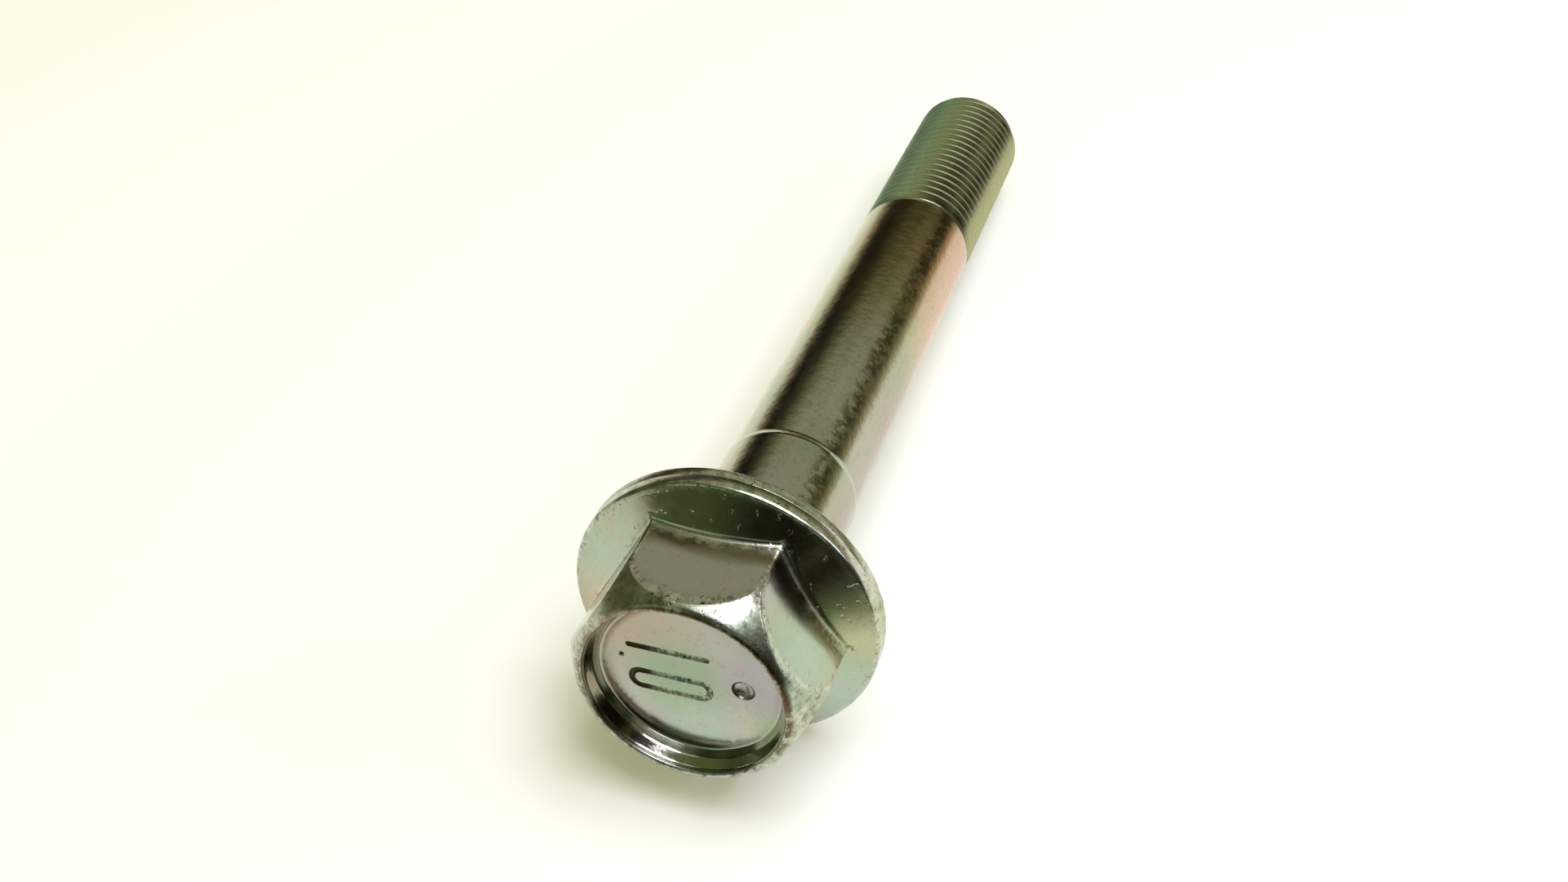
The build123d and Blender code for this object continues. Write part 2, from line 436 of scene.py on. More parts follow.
def crown_rings(head, crown, reach):
    """Rings over the lip, the chamfer and its worn edge, and the stations at which the flats start."""
    rings = []
    place = outline_places(crown)
    slope = np.arctan2(np.gradient(crown[:, 0]), np.gradient(crown[:, 1]))
    cut_radius = reach - head.chamfer_softness * np.sin(np.interp(reach, crown[:, 0], slope))
    cut_place = np.interp(cut_radius, crown[:, 0], place)
    for step in np.linspace(0, 1, CROWN_RINGS):
        radius = np.interp(cut_place * step, place, crown[:, 0])
        station = np.interp(cut_place * step, place, crown[:, 1])
        rings.append((radius, station, 0.5, 0.8 - 0.5 * min(1.0, 1.8 * step)))

    start = np.column_stack([cut_radius, np.interp(cut_radius, crown[:, 0], crown[:, 1])])
    corner = np.column_stack([reach, np.interp(reach, crown[:, 0], crown[:, 1])])
    end = corner + [0, head.chamfer_softness]
    for step in np.linspace(0, 1, EDGE_RINGS + 1)[1:]:
        bend = (1 - step) ** 2 * start + 2 * step * (1 - step) * corner + step ** 2 * end
        rings.append((bend[:, 0], bend[:, 1], 0.8, 0.2))
    return rings, end[:, 1]


def rim_front(head):
    """The station at which the flange's front meets its rim."""
    return -head.rim_bevel_height - head.rim_thickness


def foot_rings(head, reach, at_corner, start):
    """Rings down the flats and round the hexagon's foot, and where the foot ends on the flange."""
    rings = []
    foot = head.foot_rounding
    radius = reach + foot
    on_slope = rim_front(head) - (head.flange_radius - radius) * math.tan(head.flange_slope)
    station = on_slope - foot / math.cos(head.flange_slope)
    for step in np.linspace(0, 1, FLAT_RINGS + 2)[1:-1]:
        rings.append((reach, start + (station - start) * step, np.where(at_corner, 0.8, 0.0), 0.0))
    for share_round, worn in FOOT_WEAR:
        turn = share_round * (math.pi / 2 - head.flange_slope)
        rings.append((radius - foot * math.cos(turn), station + foot * math.sin(turn),
                      np.where(at_corner, 0.8, worn), 0.1))
    end_radius = radius - foot * math.sin(head.flange_slope)
    return rings, end_radius, station + foot * math.cos(head.flange_slope)


def flange_rings(head, start_radius, start_station):
    """Rings up the flange's front, over its rim with the parting line, and in to the bearing face."""
    front = rim_front(head)
    parting = front + 0.55 * head.rim_thickness
    outer = head.flange_radius
    rim = rounded([
        (outer - 4 * MM, front - 4 * MM * math.tan(head.flange_slope), 0),
        (outer, front, head.rim_front_rounding),
        (outer, parting - PARTING_HALF_WIDTH, 0),
        (outer - PARTING_DEPTH, parting, 0),
        (outer, parting + PARTING_HALF_WIDTH, 0),
        (outer, -head.rim_bevel_height, head.rim_rear_rounding),
        (outer - head.rim_bevel_width, 0, 0.12 * MM),
        (outer - 2 * head.rim_bevel_width, 0, 0),
    ])[1:]
    for step in np.linspace(0, 1, FLANGE_RINGS + 2)[1:-1]:
        yield (start_radius + (rim[0][0] - start_radius) * step,
               start_station + (rim[0][1] - start_station) * step, 0.0, 0.0)
    for radius, station in rim:
        yield radius, station, 0.5, 0.15


def head_rings(head, around):
    """Rings (radius, station, wear, satin) from the dish's floor to the bearing face."""
    outline = crown_outline(head)
    lip_start = np.argmin(outline[:, 1])
    reach, at_corner = hexagon_reach(head, around)
    crown, flat_start = crown_rings(head, outline[lip_start:], reach)
    foot, foot_radius, foot_station = foot_rings(head, reach, at_corner, flat_start)
    return [*dish_rings(head, outline[:lip_start]), *crown, *foot,
            *flange_rings(head, foot_radius, foot_station)]


# -------------------- marks

def obround(start, end, radius, steps=9):
    """The outline of a straight stroke with round ends, in the plane of the dish's floor."""
    along = math.atan2(end[1] - start[1], end[0] - start[0])
    points = []
    for centre, first in ((end, along - math.pi / 2), (start, along + math.pi / 2)):
        for turn in np.linspace(first, first + math.pi, steps):
            points.append((centre[0] + radius * math.cos(turn), centre[1] + radius * math.sin(turn)))
    return points


def circle(centre, radius, steps=28):
    """A circle in the plane of the dish's floor."""
    turns = np.linspace(0, TURN, steps, endpoint=False)
    return [(centre[0] + radius * math.cos(turn), centre[1] + radius * math.sin(turn)) for turn in turns]


def stamped_outlines(head):
    """Outlines of the plain figures 1 and 0, a round dent and a pit, each with its depth and a share that
    sets its wear and satin; at a full share shade and glints are painted into the mark.
    """
    half, depth = head.stroke_width / 2, head.stroke_depth
    walls = ((half, 0.0), (0.9 * half, 0.12 * depth), (0.5 * half, 0.75 * depth), (0.2 * half, depth))
    for offset, sink in walls:
        yield obround((2.43 * MM, -5.75 * MM), (2.72 * MM, 1.55 * MM), offset), sink, 1.0
    bend = 0.93 * MM
    for side in (1, -1):
        for offset, sink in walls:
            radius = bend + side * offset
            yield obround((-1.38 * MM, -4.62 * MM), (-1.20 * MM, 0.95 * MM), radius, 13), sink, 1.0
    for across, sink in ((1.0, 0.0), (0.94, 0.3), (0.82, 0.62), (0.6, 0.84), (0.35, 0.96), (0.12, 1.0)):
        yield circle((0.18 * MM, 4.97 * MM), across * head.dot_radius), sink * head.dot_depth, 0.5
    for radius, sink in ((0.3, 0.0), (0.2, 0.1), (0.05, 0.16)):
        yield circle((1.0 * MM, -6.48 * MM), radius * MM, 12), sink * MM, 1.0


def add_dish_floor(skin, edge_ring, head):
    """Fills the dish's floor up to the given ring, with the marks sunk into it."""
    places = [Vector(skin.points[number][:2]) for number in edge_ring]
    marks = [(0.0, 0.0)] * len(places)
    edges = [(index, (index + 1) % len(places)) for index in range(len(places))]
    # A mark's share sets the wear and satin of its floor; at a full share shade is painted into it
    for outline, sink, mark_shade in stamped_outlines(head):
        first = len(places)
        places.extend(Vector(point) for point in outline)
        marks.extend([(sink, mark_shade if sink else 0.0)] * len(outline))
        edges.extend((first + index, first + (index + 1) % len(outline)) for index in range(len(outline)))
    flat, _, triangles, sources, _, _ = delaunay_2d_cdt(places, edges, [], 0, WELD)
    floor = head.dish_depth - head.head_height
    numbers = []
    for place, source in zip(flat, sources):
        if source and source[0] < len(edge_ring):
            numbers.append(int(edge_ring[source[0]]))
        else:
            sink, mark_shade = marks[source[0]] if source else (0.0, 0.0)
            numbers.append(int(skin.add([(place[0], place[1], floor + sink)], mark_shade, mark_shade)[0]))
    skin.faces.extend([numbers[corner] for corner in triangle] for triangle in triangles)


# -------------------- thread

def root_radius(shank):
    """The least radius of the thread's rounded root, as in the metric profile."""
    return shank.nominal_radius - 17 / 24 * PROFILE_HEIGHT * shank.pitch


def thread_profile(shank):
    """Phase along the axis, radius and wear of the points of one pitch, from one crest to the next."""
    crest = shank.crest_radius
    half_crest = shank.pitch / 16
    flank = math.sqrt(3)
    rounding = PROFILE_HEIGHT * shank.pitch / 6
    root_centre = root_radius(shank) + rounding
    rising = [
        (half_crest - CREST_WEAR, crest, 1.0),
        (half_crest + 0.4 * CREST_WEAR, crest - 0.5 * CREST_WEAR * flank, 1.0),
        (half_crest + 2 * CREST_WEAR, crest - 1.9 * CREST_WEAR * flank, 0.4),
    ]
    root = [(shank.pitch / 2 + rounding * math.cos(turn), root_centre + rounding * math.sin(turn), 0.0)
            for turn in np.radians([-150, -120, -90, -60, -30])]
    falling = [(shank.pitch - phase, radius, wear) for phase, radius, wear in reversed(rising)]
    return np.array(rising + root + falling)


def add_thread(skin, around, shank, start):
    """Adds the helical thread from its start to the bevelled tip, and returns its rows of points."""
    profile = thread_profile(shank)
    root = root_radius(shank)
    tip_radius = root - shank.tip_clearance
    turns = math.ceil((shank.bolt_length - start) / shank.pitch) + 2
    phases = np.concatenate([profile[:, 0] + (turn - 1) * shank.pitch for turn in range(turns)]) + start
    flank = shank.crest_radius - shank.first_edge - root
    rows = []
    for phase, radius, wear in zip(phases, np.tile(profile[:, 1], turns), np.tile(profile[:, 2], turns)):
        station = np.clip(phase + shank.pitch * around / TURN, start, shank.bolt_length)
        rise = (station - start) * math.tan(shank.first_flank_angle)
        from_start = root + np.minimum(rise, flank + shank.first_edge_softness * (rise - flank))
        from_tip = tip_radius + (shank.bolt_length - station) * math.tan(shank.tip_angle)
        held = np.minimum(np.minimum(radius, from_start), from_tip)
        rows.append(skin.ring(around, held, station, wear, 0.3))
    rows = np.array(rows)
    here, ahead = rows[:-1], rows[1:]
    quads = np.stack([here[:, :-1], here[:, 1:], ahead[:, 1:], ahead[:, :-1]], axis=-1)
    skin.faces.extend(quads.reshape(-1, 4).tolist())
    # After a full turn, each row runs on into the row one pitch further along
    further = rows[len(profile):]
    seam = np.column_stack([rows[:len(further) - 1, -1], further[:-1, 0], further[1:, 0],
                            rows[1:len(further), -1]])
    skin.faces.extend(seam.tolist())
    return rows


def add_bolt(skin, head, shank):
    """Adds the whole bolt, from the dish's floor to the tip."""
    head_around = hexagon_angles(head)
    rings = [skin.ring(head_around, *ring) for ring in head_rings(head, head_around)]
    skin.bands(rings)
    add_dish_floor(skin, rings[0], head)

    around = np.linspace(0, TURN, THREAD_COLUMNS, endpoint=False)
    root = root_radius(shank)
    groove = shank.plain_length + cone_length(shank.nominal_radius - root, shank.run_out_angle)
    outline = rounded([
        (shank.collar_radius + 2 * MM, 0, 0),
        (shank.collar_radius, 0, shank.under_head_rounding),
        (shank.collar_radius, shank.collar_length, shank.collar_rounding),
        (shank.nominal_radius, shank.collar_length + shank.collar_bevel, shank.collar_rounding),
        (shank.nominal_radius, shank.plain_length, 0.08 * MM),
        (root, groove, 0),
    ])[1:]
    body = [skin.ring(around, radius, station, 0.0, 0.15) for radius, station in outline]
    skin.bands(body)
    skin.stitch(rings[-1], head_around, body[0], around)
    rows = add_thread(skin, around, shank, groove)
    skin.faces.append(rows[-1].tolist())


# -------------------- materials

class Number:
    """A value that varies over a surface.  Python arithmetic on it adds Math nodes."""

    def __init__(self, shader, socket):
        self.shader = shader
        self.socket = socket

    def math(self, operation, *others):
        """A Math node on this value and the others."""
        inputs = dict(enumerate((self, *others)))
        return self.shader.node("ShaderNodeMath", {"operation": operation}, inputs)

    def __add__(self, other):
        return self.math("ADD", other)

    def __sub__(self, other):
        return self.math("SUBTRACT", other)

    def __rsub__(self, other):
        return (self * -1).math("ADD", other)

    def __mul__(self, other):
        return self.math("MULTIPLY", other)

    __radd__ = __add__
    __rmul__ = __mul__

    def between(self, low, high):
        """0 where the value is under low, 1 where it is over high, and a smooth step between them."""
        return self.shader.node("ShaderNodeMapRange", {"interpolation_type": "SMOOTHSTEP"},
                                {"Value": self, "From Min": low, "From Max": high})

    def past(self, low, high):
        """The same for a length, with both limits in millimetres."""
        return self.between(low * MM, high * MM)

    def within(self, low, rise, fall, high, unit=MM):
        """1 from rise to fall and 0 under low and over high, with the limits in millimetres."""
        return self.between(low * unit, rise * unit) * (1 - self.between(fall * unit, high * unit))


class Shader:
    """Writes the node tree of a material or world."""

    def __init__(self, owner):
        owner.use_nodes = True
        self.owner = owner
        self.tree = owner.node_tree
        self.tree.nodes.clear()

    def node(self, kind, settings=None, inputs=None, output=0):
        """Adds a node: its settings first, then its sockets' values or links.  Returns one output."""
        made = self.tree.nodes.new(kind)
        for name, value in (settings or {}).items():
            setattr(made, name, value)
        for name, value in (inputs or {}).items():
            if isinstance(value, Number):
                self.tree.links.new(value.socket, made.inputs[name])
            else:
                made.inputs[name].default_value = value
        return Number(self, made.outputs[output]) if len(made.outputs) else None

    def object_place(self):
        """The place in the object's own coordinates."""
        return self.node("ShaderNodeTexCoord", output=3)

    def axes(self, place):
        """The three coordinates of a place."""
        return [self.node("ShaderNodeSeparateXYZ", {}, {0: place}, axis) for axis in range(3)]

    def vector(self, operation, *inputs, output=0):
        """A Vector Math node on these places."""
        return self.node("ShaderNodeVectorMath", {"operation": operation}, dict(enumerate(inputs)), output)

    def distance(self, place, centre):
        """How far a place is from a centre."""
        return self.vector("DISTANCE", place, centre, output=1)

    def stretched(self, place, along):
        """The place with its length along the axis shortened, so that marks run along the bolt."""
        return self.vector("MULTIPLY", place, (1.0, 1.0, along))

    def noise(self, place, size, detail, roughness, shift):
        """Noise whose features are about this many metres across."""
        return self.node("ShaderNodeTexNoise", {}, {
            "Vector": self.vector("ADD", place, (shift, shift, shift)),
            "Scale": 1.0 / size, "Detail": detail, "Roughness": roughness,
        })

    def ramp(self, factor, stops):
        """The colour at this place on a ramp of (place, colour) stops."""
        made = self.node("ShaderNodeValToRGB", {}, {0: factor})
        elements = made.socket.node.color_ramp.elements
        while len(elements) < len(stops):
            elements.new(1.0)
        for element, (place, paint) in zip(elements, stops):
            element.position = place
            element.color = (*paint, 1.0)
        return made

    def mix(self, factor, first, second):
        """A mix of two colours."""
        first = first if isinstance(first, Number) else (*first, 1.0)
        second = second if isinstance(second, Number) else (*second, 1.0)
        return self.node("ShaderNodeMix", {"data_type": "RGBA"}, {0: factor, 6: first, 7: second}, 2)

    def layers(self, paint, *coats):
        """A colour under (mask, colour) coats, each laid over the last."""
        for mask, coat in coats:
            paint = self.mix(mask, paint, coat)
        return paint

    def glow(self, paint):
        """Makes the material give off this colour and nothing else, and returns it."""
        paint = paint if isinstance(paint, Number) else (*paint, 1.0)
        self.output(self.node("ShaderNodeEmission", {}, {"Color": paint, "Strength": 1.0}))
        return self.owner

    def output(self, surface):
        """Makes this the material's surface."""
        self.node("ShaderNodeOutputMaterial", {}, {"Surface": surface})


# Each noise: size in mm, detail, roughness, shift, and how far it is drawn out along the axis (1 is not)
NOISES = {
    "drift": (16.0, 1.0, 0.4, 0.0, 0.5),
    "tarnish": (2.4, 3.0, 0.6, 0.19, 1.0),
    "swell": (1.5, 3.0, 0.55, 0.29, 1.0),
    "blotch": (1.1, 4.0, 0.7, 0.37, 1.0),
    "grain": (0.9, 4.0, 0.6, 0.11, 0.16),
    "nick": (0.8, 1.0, 0.5, 0.91, 1.0),
    "ragged": (0.6, 2.0, 0.6, 0.67, 1.0),
    "speck": (0.45, 3.0, 0.65, 0.71, 1.0),
    "bead": (0.32, 1.0, 0.4, 0.83, 1.0),
    "fine": (0.16, 2.0, 0.5, 0.53, 1.0),
}
TURNING_PITCH = 0.22 * MM     # of the turning marks on the dish's side
BUMP_HEIGHT = 0.012 * MM      # of the relief that the bump node draws, for a height of 1

# The film's larger patches, among them a painted highlight on the rim and the left sides of collar and
# shank painted lighter as reflected light: up, right, along and reach in mm, how far drawn out along the
# axis, and colour
FILM_PATCHES = (
    (5.5, -5.5, -12.0, 8.0, 1.0, "blush"),
    (-0.5, -1.0, -12.0, 6.5, 1.0, "moss"),
    (1.5, 7.0, -12.0, 5.5, 1.0, "violet"),
    (-6.5, 1.0, -12.0, 5.0, 1.0, "mint"),
    (6.0, -12.5, -4.0, 8.0, 1.0, "mint"),
    (-3.0, -12.0, -4.0, 6.0, 1.0, "blush"),
    (3.0, 13.5, -3.5, 7.0, 1.0, "straw"),
    (-6.0, 12.0, -3.5, 7.0, 1.0, "mint"),
    (10.5, -3.0, -8.5, 7.0, 1.0, "lavender"),
    (10.5, 4.0, -8.0, 8.0, 1.0, "lavender"),
    (4.0, 10.0, -10.0, 6.0, 1.0, "mint"),
    (8.5, 1.0, 6.0, 8.0, 0.6, "lavender"),
    (8.5, 0.0, 62.0, 12.0, 0.35, "tan"),
    # Painted highlight: a lighter patch on the flange's rim at its upper right
    (10.0, 11.0, -1.8, 7.0, 1.0, "burnish_and_glint"),
    (-0.5, 8.5, 60.0, 11.0, 0.35, "pink"),
    (-0.5, 8.5, 28.0, 7.0, 0.35, "rose"),
    (-0.5, 8.5, 8.0, 7.5, 0.5, "rose"),
    # Painted reflection: these three make the left sides of collar and shank much lighter
    (-1.0, -8.0, 12.0, 9.0, 0.35, "cream_film_and_reflection"),
    (-1.0, -8.0, 36.0, 9.0, 0.35, "cream_film_and_reflection"),
    (-1.0, -8.0, 60.0, 9.0, 0.35, "cream_film_and_reflection"),
)


class ZincPlate:
    """Passivated zinc: a pale metal under a film that drifts between green, pink and straw.

    It knows where a point lies on the bolt, how worn and satin it is, and what has marked it.  A mask, such
    as thread or pits, is 1 in its place and 0 elsewhere, with a soft edge.
    """

    def __init__(self, finish, head, shank):
        self.finish = finish
        self.shader = shader = Shader(bpy.data.materials.new("zinc_plate"))
        to_bolt = bolt_placement().inverted()
        self.place = shader.node("ShaderNodeMapping", {"vector_type": "POINT"}, {
            "Vector": shader.object_place(), "Location": to_bolt.translation,
            "Rotation": to_bolt.to_euler(),
        })
        self.up, self.right, self.along = shader.axes(self.place)
        self.left = self.right * -1
        self.radius = (self.up * self.up + self.right * self.right).math("SQRT")
        self.turned = self.right.math("ARCTAN2", self.up)
        self.wear = shader.node("ShaderNodeAttribute", {"attribute_name": "wear"}, output=2)
        self.satin = shader.node("ShaderNodeAttribute", {"attribute_name": "satin"}, output=2)
        self.noise = {
            name: shader.noise(shader.stretched(self.place, drawn_out), size * MM, detail, roughness, shift)
            for name, (size, detail, roughness, shift, drawn_out) in NOISES.items()
        }
        self.mark_places(head, shank)
        self.mark_wear()

    def mark_places(self, head, shank):
        """Masks of the parts of the bolt whose finish differs."""
        floor = head.dish_depth - head.head_height
        self.thread = self.along.between(shank.plain_length, shank.plain_length + MM)
        self.thread_left = self.left.past(0.5, 5)
        self.plain_shank = self.along.past(0.5, 1.5) * (1 - self.thread)
        self.on_head = 1 - self.along.past(0, 1)
        self.on_floor = 1 - self.along.between(floor, floor + 0.4 * MM)
        off_floor = 1 - self.along.between(floor - 0.1 * MM, floor)
        self.dish_side = self.radius.within(8.65, 8.8, 9.7, 10.2) * off_floor
        near_face = 1 - (self.along + head.head_height).past(0.3, 0.6)
        mouth = self.radius.within(9.3, 9.45, 9.95, 10.3) * near_face
        # Painted dark reflection: a ragged brown band round the upper right of the dish's mouth
        self.dark_mouth_reflection = mouth * (self.up + self.right).past(1.5, 9)
        self.in_mark = self.satin.between(0.85, 1.0)
        # Left ends of the stamped marks, where their painted shade is darkest
        self.shaded_left_ends = self.left.past(2.6, 4.2)

    def mark_wear(self):
        """Masks of small scuffs, pits and nicks, and of the mottled dark bands painted as reflection along
        the shank's sides.
        """
        speck = self.noise["speck"]
        tarnished = self.noise["tarnish"].between(0.38, 0.58)
        self.scuffs = speck.between(0.48, 0.66) * self.noise["grain"].between(0.42, 0.58) * self.plain_shank
        self.pits = speck.between(0.57, 0.64) * tarnished * (0.15 + 1.3 * self.wear) * self.on_head
        on_flange = self.along.within(-5.3, -5.0, -2.8, -2.6)
        self.nicks = self.noise["nick"].between(0.69, 0.73) * on_flange
        # Painted dark reflection: mottled dark bands along the shank, at fixed turns to the right and left
        # of its top
        right_edge = self.turned.within(0.44, 0.58, 0.70, 0.84, unit=1)
        left_edge = (self.turned * -1).within(0.26, 0.36, 0.50, 0.64, unit=1)
        painted_dark_bands = self.noise["blotch"].between(0.42, 0.56) * self.plain_shank
        self.painted_dark_bands = (right_edge + 0.8 * left_edge) * painted_dark_bands

    def film(self):
        """The film's colour over the plate, with the thread painted lighter on its left side as reflected
        light, darker on its right side as shade, and dark as shade in its grooves there.
        """
        finish, shader, thread = self.finish, self.shader, self.thread
        film = shader.ramp(self.noise["drift"], (
            (0.30, finish.straw), (0.45, finish.green), (0.55, finish.zinc), (0.70, finish.lavender),
        ))
        for up, right, along, reach, drawn_out, paint in FILM_PATCHES:
            centre = (up * MM, right * MM, along * drawn_out * MM)
            away = shader.distance(shader.stretched(self.place, drawn_out), centre)
            film = shader.mix(0.95 * (1 - away.past(0.2 * reach, reach)), film, getattr(finish, paint))
        # Painted shade: the thread's grooves on its right half are darkened almost to black
        shaded_roots = thread * (1 - self.radius.past(6.2, 6.85)) * self.right.past(-1, 2)
        film = shader.layers(
            film,
            # The thread's film: lighter on its left side as painted reflected light, darker on its right
            # side as painted shade
            (0.9 * thread, shader.mix(self.thread_left, finish.olive, finish.teal_film_and_reflection)),
            (0.85 * thread * self.right.past(-0.5, 2.5), finish.khaki_film_and_shade),
            (0.95 * shaded_roots, finish.grime_and_shade),
        )
        return shader.mix(finish.film_strength, finish.zinc, film)

    def brown_and_dark_reflection(self):
        """Painted dark reflection in brown round the edge of the dish's floor, strongest to the lower left,
        and on the left of the dish's side; and a darker brown band on the hexagon near its foot.
        """
        round_floor = self.radius.past(7.6, 8.5) * (1 - 0.7 * self.right.past(0, 6))
        near_side = (self.right * -0.6 + self.up * -0.8).past(2, 7)
        near_floor = 0.9 * self.radius.past(6.6, 8.4) * near_side
        on_floor = round_floor.math("MAXIMUM", near_floor) * self.on_floor
        on_floor = on_floor * (1 - self.radius.past(8.25, 8.4))
        on_side = 0.6 * self.dish_side * self.left.past(2, 7)
        # A darker brown band on the hexagon, just above its foot
        at_foot = 0.8 * self.along.within(-7.6, -6.0, -5.5, -5.1)
        return (on_floor + at_foot + on_side) * (0.5 + self.noise["tarnish"])

    def colour(self):
        """The film with its tarnish, wear, specks and a darker brown band at the hexagon's foot, and with
        painted light: dark reflections in and round the dish, dark reflection bands along the shank, shade
        in the stamped marks and glints on their right parts.
        """
        finish = self.finish
        tarnish, blotch, bead = (self.noise[name] for name in ("tarnish", "blotch", "bead"))
        handled = self.wear.between(0.2, 0.6) * self.on_head
        # Painted shade in the stamped marks, darkest at their left ends, and painted glints on their right
        # parts
        mark_shade = self.shaded_left_ends.math("MAXIMUM", 0.35 * (1 - bead.between(0.42, 0.52)))
        painted_glints = (1 - self.shaded_left_ends) * bead.between(0.55, 0.61)
        return self.shader.layers(
            self.film(),
            (0.4 * tarnish.between(0.45, 0.75), finish.blush),
            (0.4 * (1 - tarnish.between(0.28, 0.5)), finish.green),
            (0.9 * self.brown_and_dark_reflection(), finish.bronze_and_dark_reflection),
            (0.95 * self.dark_mouth_reflection * blotch.between(0.29, 0.42), finish.bronze_and_dark_reflection),
            (0.75 * handled * blotch.between(0.54, 0.68), finish.grime_and_shade),
            (0.8 * handled * (1 - blotch.between(0.40, 0.52)), finish.burnish_and_glint),
            (0.7 * self.painted_dark_bands + 0.2 * self.scuffs + self.pits, finish.grime_and_shade),
            (self.in_mark * mark_shade, finish.grime_and_shade),
            (0.95 * self.in_mark * painted_glints, finish.burnish_and_glint),
        )

    def roughness(self):
        """Glossy, and duller where the plate is satin, worn or scuffed, and on the thread's left side."""
        rough = self.finish.gloss + 0.22 * self.satin + 0.12 * self.wear + 0.03 * self.scuffs
        rough = rough + 0.08 * self.thread * self.thread_left - 0.05 * self.dish_side
        return rough + 0.10 * (self.noise["grain"] - 0.5)

    def relief(self):
        """The surface's small unevenness, as a normal."""
        shader, ragged = self.shader, self.noise["ragged"]
        drawn = {0: self.radius, 1: self.along, 2: self.turned * 0.8 * MM}
        rings = shader.noise(shader.node("ShaderNodeCombineXYZ", {}, drawn), TURNING_PITCH, 2.0, 0.5, 0.41)
        height = (0.06 + 0.45 * self.wear) * self.noise["fine"]
        height = height + (0.9 + 1.4 * self.plain_shank + 2.2 * self.wear) * self.noise["swell"]
        height = height + (0.5 * self.plain_shank + 1.3 * self.wear + 0.9 * self.dish_side) * ragged
        height = height + 0.4 * self.dish_side * rings - 0.1 * self.scuffs - 0.6 * self.pits
        height = height + 3 * self.in_mark * (1 - self.shaded_left_ends) * self.noise["bead"] - 1.5 * self.nicks
        return shader.node("ShaderNodeBump", {}, {"Distance": BUMP_HEIGHT, "Height": height})

    def material(self):
        """The finished material."""
        self.shader.output(self.shader.node("ShaderNodeBsdfPrincipled", {}, {
            "Base Color": self.colour(), "Metallic": 1.0, "Roughness": self.roughness(),
            "Normal": self.relief(),
        }))
        return self.shader.owner


# -------------------- stage

TABLE_REACH = 3.0             # from the middle to each side
TABLE_LIFT = 0.12             # strength of the glow that whitens the table
ROOM_RADIUS = 1.6
TO_SCREEN = (-0.70, 0.54, 0.47)          # headings in the reflected room
TO_CEILING_LIGHT = (0.0, 0.22, 0.975)
NEAR_EDGE_CORNERS = ((-1.2, -1.2), (-0.068, 0.045))
CAMERA_BODY_CORNERS = ((-0.085, -0.040), (0.085, 0.040))
CARD_GAP = 0.3 * MM           # between the table and the card of its near edge
LENS_GAP = 6 * MM             # between the camera and the card of its body
WALL_FOOT = (                 # how the wall beyond the table darkens downwards
    (0.39, (0.03, 0.02, 0.012)), (0.43, (0.06, 0.048, 0.014)), (0.46, (0.11, 0.095, 0.026)),
    (0.50, (0.24, 0.22, 0.10)), (0.53, (0.34, 0.33, 0.20)),
)
NEAR_EDGE = (                 # how the table's near edge darkens away from the bolt
    (0.34, (0.95, 0.94, 0.86)), (0.38, (0.68, 0.70, 0.55)), (0.42, (0.34, 0.38, 0.24)),
    (0.48, (0.17, 0.19, 0.10)), (0.62, (0.07, 0.07, 0.04)),
)


def seen_directly(shader):
    """1 for camera, glossy and transmission rays, for backgrounds that metal and glass show too."""
    camera = shader.node("ShaderNodeLightPath", output="Is Camera Ray")
    glossy = shader.node("ShaderNodeLightPath", output="Is Glossy Ray")
    through = shader.node("ShaderNodeLightPath", output="Is Transmission Ray")
    return camera.math("MAXIMUM", glossy).math("MAXIMUM", through)


def table_top(stage):
    """Plain pale table, a little warmer to the left, that keeps shadows."""
    shader = Shader(bpy.data.materials.new("pale_table"))
    left = shader.axes(shader.object_place())[1]
    paint = shader.mix(left.between(0.0, 0.09), stage.table, stage.table_warm)
    matt = shader.node("ShaderNodeBsdfDiffuse", {}, {"Color": paint})
    lift = shader.node("ShaderNodeEmission", {}, {"Color": (*stage.table_lift, 1.0),
                                                  "Strength": TABLE_LIFT * seen_directly(shader)})
    shader.output(shader.node("ShaderNodeAddShader", {}, {0: matt, 1: lift}))
    return shader.owner


def reflected_room(stage):
    """What the plate reflects above the table: a dim room, a wall beyond the table and bright things."""
    shader = Shader(bpy.data.materials.new("reflected_room"))
    heading = shader.vector("NORMALIZE", shader.object_place())
    forward, left, rise = shader.axes(heading)
    right = left * -1
    slant = 0.45 * (right - 0.05).math("MAXIMUM", 0.0)
    wall_end = right.between(0.40, 0.50) * (1 - rise.between(0.25, 0.38))
    beyond = shader.layers(
        shader.ramp(rise + slant, ((0.32, stage.dark), *WALL_FOOT, (0.57, stage.wall), (0.78, stage.wall),
                                   (0.92, stage.ceiling))),
        (wall_end, stage.pillar),
        (1 - rise.between(0.06, 0.12), stage.skirting),
    )
    return shader.glow(shader.layers(
        shader.mix(left.between(0.0, 0.40), stage.dark, stage.dark_rear),
        (rise.between(0.45, 0.75), stage.ceiling),
        ((forward * -1).between(0.50, 0.75) * rise.between(0.27, 0.42), stage.wall_rear),
        (rise.between(0.66, 0.82), stage.ceiling),
        (forward.between(0.25, 0.55), beyond),
        (1 - shader.distance(heading, TO_SCREEN).between(0.06, 0.14), stage.screen),
        (1 - shader.distance(heading, TO_CEILING_LIGHT).between(0.12, 0.34), stage.ceiling_light),
    ))


def near_edge(stage):
    """The table towards the camera, as reflected: pale by the bolt and darker further off."""
    shader = Shader(bpy.data.materials.new("near_edge"))
    forward, left, _ = shader.axes(shader.object_place())
    return shader.glow(shader.ramp(forward * -4 + left * -2.4, (*NEAR_EDGE, (1.0, stage.dark))))


